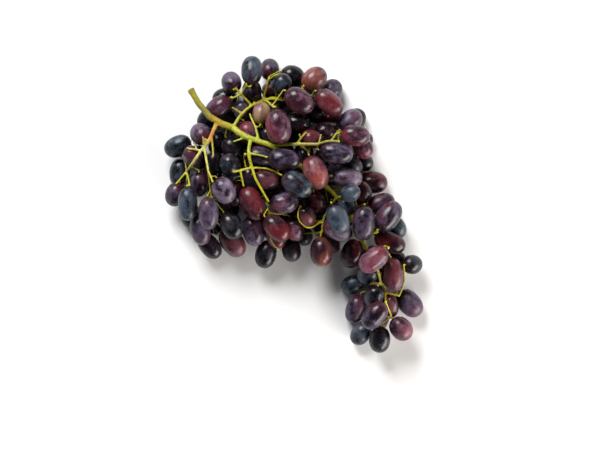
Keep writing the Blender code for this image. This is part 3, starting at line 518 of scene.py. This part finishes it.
def outward(points, faces):
    """The unit normal at each point: the sum of those of the triangles or quads round it."""
    one, two, three, last = (points[faces[:, k]] for k in (0, 1, 2, -1))
    normal = np.repeat(np.cross(three - one, last - two), faces.shape[1], axis=0)
    total = [np.bincount(faces.ravel(), normal[:, k], len(points)) for k in range(3)]
    return unit(np.stack(total, axis=1))


def rounded_stalk(settings):
    """The stalk's surface, even and round: its points and quads, in millimetres.

    The frame's faceted stalk is thickened, so that the thinnest pedicels hold together, and
    remade in small cells. Most of the thickening is then taken off. Each point is drawn to
    the average of its neighbours and part of the way back, a few times, which evens the
    surface and keeps its thickness. Slow waves along the normals then swell the knuckles, and
    the cut end flares."""
    points, faces = welded("stem")
    points = points + outward(points, faces) * settings.thicken / MM
    points, quads = even_cells(points, faces, settings.cell)
    points = points - outward(points, quads) * TAKEN_OFF * settings.thicken / MM
    start, end = quads.ravel(), np.roll(quads, -1, axis=1).ravel()
    degree = np.bincount(start)[:, None]
    for share in (DRAWN, DRAWN_BACK) * settings.smoothing:
        drawn = [np.bincount(start, points[end, k]) for k in range(3)]
        points = points + share * (np.stack(drawn, axis=1) / degree - points)
    waves = wobble(points * 0.55, (0.3, 1.9, 4.1)) + 0.6 * wobble(points * 1.3, (2.2, 0.7, 5.0))
    cut_end = np.exp(-((np.linalg.norm(points[:, :2] - CUT_END, axis=1) / CUT_END_REACH) ** 2))
    swell = KNUCKLES * waves + CUT_END_FLARE * cut_end
    return points + outward(points, quads) * swell[:, None], quads


def stalk_tint(points):
    """The colour of the stalk at each point: its plain green, and the tints near their places."""
    colour = np.tile(srgb(STALK_COLOUR), (len(points), 1))
    for x, y, reach, tint in STEM_TINTS:
        gap = np.linalg.norm(points[:, :2] - (x, y), axis=1)
        share = np.exp(-((gap / reach) ** 2))[:, None]
        colour = colour + (srgb(tint) - colour) * share
    return np.hstack([colour, np.ones((len(points), 1))])


# ---- Settings ----------------------------------------------------------------------------
class GrapeSettings(bpy.types.PropertyGroup):
    rings: bpy.props.IntProperty(
        name="Rings", description="Rings of points along each grape", default=30, min=8
    )
    sides: bpy.props.IntProperty(
        name="Sides", description="Points round each grape", default=36, min=8
    )
    fullness: bpy.props.FloatProperty(
        name="Fullness", description="How much fuller than an ellipsoid a long grape is", default=0.55
    )
    unevenness: bpy.props.FloatProperty(
        name="Unevenness", description="Slow waves on the skin, as a share of the radius", default=0.014
    )
    bloom: bpy.props.FloatProperty(
        name="Bloom", description="Strength of the waxy bloom", default=0.85, subtype="FACTOR"
    )
    flesh: bpy.props.FloatProperty(
        name="Flesh", description="How much light passes through the skin", default=0.08, subtype="FACTOR"
    )


class StalkSettings(bpy.types.PropertyGroup):
    cell: bpy.props.FloatProperty(
        name="Cell", description="Size of the cells the stalk is remade in", default=0.00064,
        unit="LENGTH", precision=5
    )
    thicken: bpy.props.FloatProperty(
        name="Thicken", description="Distance the stalk is thickened by while it is remade",
        default=0.00028, unit="LENGTH", precision=5
    )
    smoothing: bpy.props.IntProperty(
        name="Smoothing", description="Times each point is drawn to its neighbours and back",
        default=8, min=0
    )


class StageSettings(bpy.types.PropertyGroup):
    table: bpy.props.FloatVectorProperty(
        name="Table", description="Colour of the table", default=tuple(srgb("#f2f2f2")),
        subtype="COLOR", size=3
    )
    aim: bpy.props.FloatVectorProperty(
        name="Aim", description="Point the camera looks straight down on", default=(0.0056, -0.0182, 0.030),
        subtype="XYZ", unit="LENGTH", size=3
    )
    height: bpy.props.FloatProperty(
        name="Height", description="Camera height above that point", default=2.0, unit="LENGTH"
    )
    across: bpy.props.FloatProperty(
        name="Across", description="Width of the picture at that point", default=0.548, unit="LENGTH"
    )
    key: bpy.props.FloatProperty(
        name="Key light", description="Power of the window light", default=50.0, unit="POWER"
    )
    fill: bpy.props.FloatProperty(
        name="Low light", description="Power of the large low light opposite it", default=34.0, unit="POWER"
    )
    sky: bpy.props.FloatProperty(
        name="Room light", description="Strength of the light all round, near the horizon", default=0.50
    )
    zenith: bpy.props.FloatProperty(
        name="Overhead light", description="Strength of the light from straight above", default=0.03
    )


# ---- Operators ---------------------------------------------------------------------------
class GRAPES_OT_berries(bpy.types.Operator):
    """Draws the grapes of every berry node"""

    bl_idname = "grapes.berries"
    bl_label = "Berries"

    def execute(self, context):
        settings = context.scene.grape_settings
        rng = np.random.default_rng(7)
        stem_points, _ = welded("stem")
        nodes = [name for name in sorted(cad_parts) if name != "stem"]
        groups = [read_berries(node, stem_points) for node in nodes]
        looks = iter(looks_of([berry for group in groups for berry in group], rng))
        skin = grape_skin(settings)
        quads, triangles = grape_faces(settings.rings, settings.sides)
        for node, group in zip(nodes, groups):
            if not group:
                raise RuntimeError(f"{node} holds no berry")
            points, bare, bloom, grain = [], [], [], []
            for berry in group:
                place, lie, local = grape(*berry, settings, rng)
                points.append(place)
                grain.append(local)
                colours = skin_colours(next(looks), lie, rng)
                bare.append(colours[0])
                bloom.append(colours[1])
            steps = np.arange(len(group))[:, None, None] * len(points[0])
            obj = put_mesh(
                node.replace("berries", "grapes"),
                np.concatenate(points),
                (quads[None] + steps).reshape(-1, 4),
                (triangles[None] + steps).reshape(-1, 3),
            )
            put_attribute(obj, "bare", "FLOAT_COLOR", np.concatenate(bare))
            put_attribute(obj, "bloom", "FLOAT_COLOR", np.concatenate(bloom))
            put_attribute(obj, "grain", "FLOAT_VECTOR", np.concatenate(grain))
            obj.data.materials.append(skin)
            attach(obj, "root")
            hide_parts(node)
        return {"FINISHED"}


class GRAPES_OT_stalk(bpy.types.Operator):
    """Draws the stalk: peduncle, rachis, side branches and pedicels"""

    bl_idname = "grapes.stalk"
    bl_label = "Stalk"

    def execute(self, context):
        points, quads = rounded_stalk(context.scene.stalk_settings)
        obj = put_mesh("stalk", points, quads)
        obj.data.materials.append(stem_skin())
        put_attribute(obj, "tint", "FLOAT_COLOR", stalk_tint(points))
        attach(obj, "root")
        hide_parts("stem")
        return {"FINISHED"}


def area_light(name, power, place, size, colour):
    """A soft light aimed at the middle of the table."""
    light = bpy.data.lights.new(name, "AREA")
    light.shape = "RECTANGLE"
    light.size, light.size_y = size
    light.energy = power
    light.color = srgb(colour)
    obj = bpy.data.objects.new(name, light)
    bpy.context.scene.collection.objects.link(obj)
    obj.location = place
    obj.rotation_euler = (-Vector(place)).to_track_quat("-Z", "Y").to_euler()
    obj.visible_camera = False
    return obj


def room(horizon, zenith):
    """The light of the room: pale all round and dim overhead."""
    world = bpy.data.worlds.new("room")
    world.use_nodes = True
    tree = world.node_tree
    tree.nodes.clear()
    way = add_node(tree, "ShaderNodeTexCoord").outputs["Generated"]
    up = add_node(tree, "ShaderNodeSeparateXYZ", [(0, way)]).outputs["Z"]
    strength = spread(tree, up, *HORIZON_TO_ZENITH, horizon, zenith)
    white = (1.0, 1.0, 1.0, 1.0)
    light = add_node(tree, "ShaderNodeBackground", [("Color", white), ("Strength", strength)])
    add_node(tree, "ShaderNodeOutputWorld", [("Surface", light.outputs[0])])
    return world


class GRAPES_OT_stage(bpy.types.Operator):
    """Sets the table, the lights and the camera"""

    bl_idname = "grapes.stage"
    bl_label = "Stage"

    def execute(self, context):
        settings = context.scene.stage_settings
        mesh = bpy.data.meshes.new("table")
        half = TABLE_HALF
        corners = [(-half, -half, 0), (half, -half, 0), (half, half, 0), (-half, half, 0)]
        mesh.from_pydata(corners, [], [(0, 1, 2, 3)])
        table = bpy.data.objects.new("table", mesh)
        table.location.z = -TABLE_DROP
        context.scene.collection.objects.link(table)
        mesh.materials.append(plain("table_matt_white", settings.table, TABLE_ROUGHNESS))
        key = area_light("window", settings.key, *WINDOW)
        low = area_light("reflector", settings.fill, *REFLECTOR)
        context.scene.world = room(settings.sky, settings.zenith)
        context.scene.view_settings.view_transform = "Standard"
        data = bpy.data.cameras.new("camera")
        data.lens = data.sensor_width * settings.height / settings.across
        camera = bpy.data.objects.new("camera", data)
        camera.location = Vector(settings.aim) + Vector((0, 0, settings.height))
        context.scene.collection.objects.link(camera)
        context.scene.camera = camera
        return {"FINISHED"}


# ---- Panel and registration --------------------------------------------------------------
OPERATORS = (GRAPES_OT_berries, GRAPES_OT_stalk, GRAPES_OT_stage)
GROUPS = {
    "grape_settings": GrapeSettings,
    "stalk_settings": StalkSettings,
    "stage_settings": StageSettings,
}


class GRAPES_PT_panel(bpy.types.Panel):
    """Sizes, colours and buttons for the bunch"""

    bl_label = "Bunch of grapes"
    bl_idname = "GRAPES_PT_panel"
    bl_space_type = "VIEW_3D"
    bl_region_type = "UI"
    bl_category = "Grapes"

    def draw(self, context):
        for name, group in GROUPS.items():
            box = self.layout.box()
            for setting in group.__annotations__:
                box.prop(getattr(context.scene, name), setting)
        for operator in OPERATORS:
            self.layout.operator(operator.bl_idname)


CLASSES = (*GROUPS.values(), *OPERATORS, GRAPES_PT_panel)


def register():
    for cls in CLASSES:
        bpy.utils.register_class(cls)
    for name, group in GROUPS.items():
        setattr(bpy.types.Scene, name, bpy.props.PointerProperty(type=group))


def unregister():
    for name in GROUPS:
        delattr(bpy.types.Scene, name)
    for cls in reversed(CLASSES):
        bpy.utils.unregister_class(cls)


def main():
    register()
    bpy.ops.grapes.berries()
    bpy.ops.grapes.stalk()
    bpy.ops.grapes.stage()


if __name__ == "__main__":
    main()
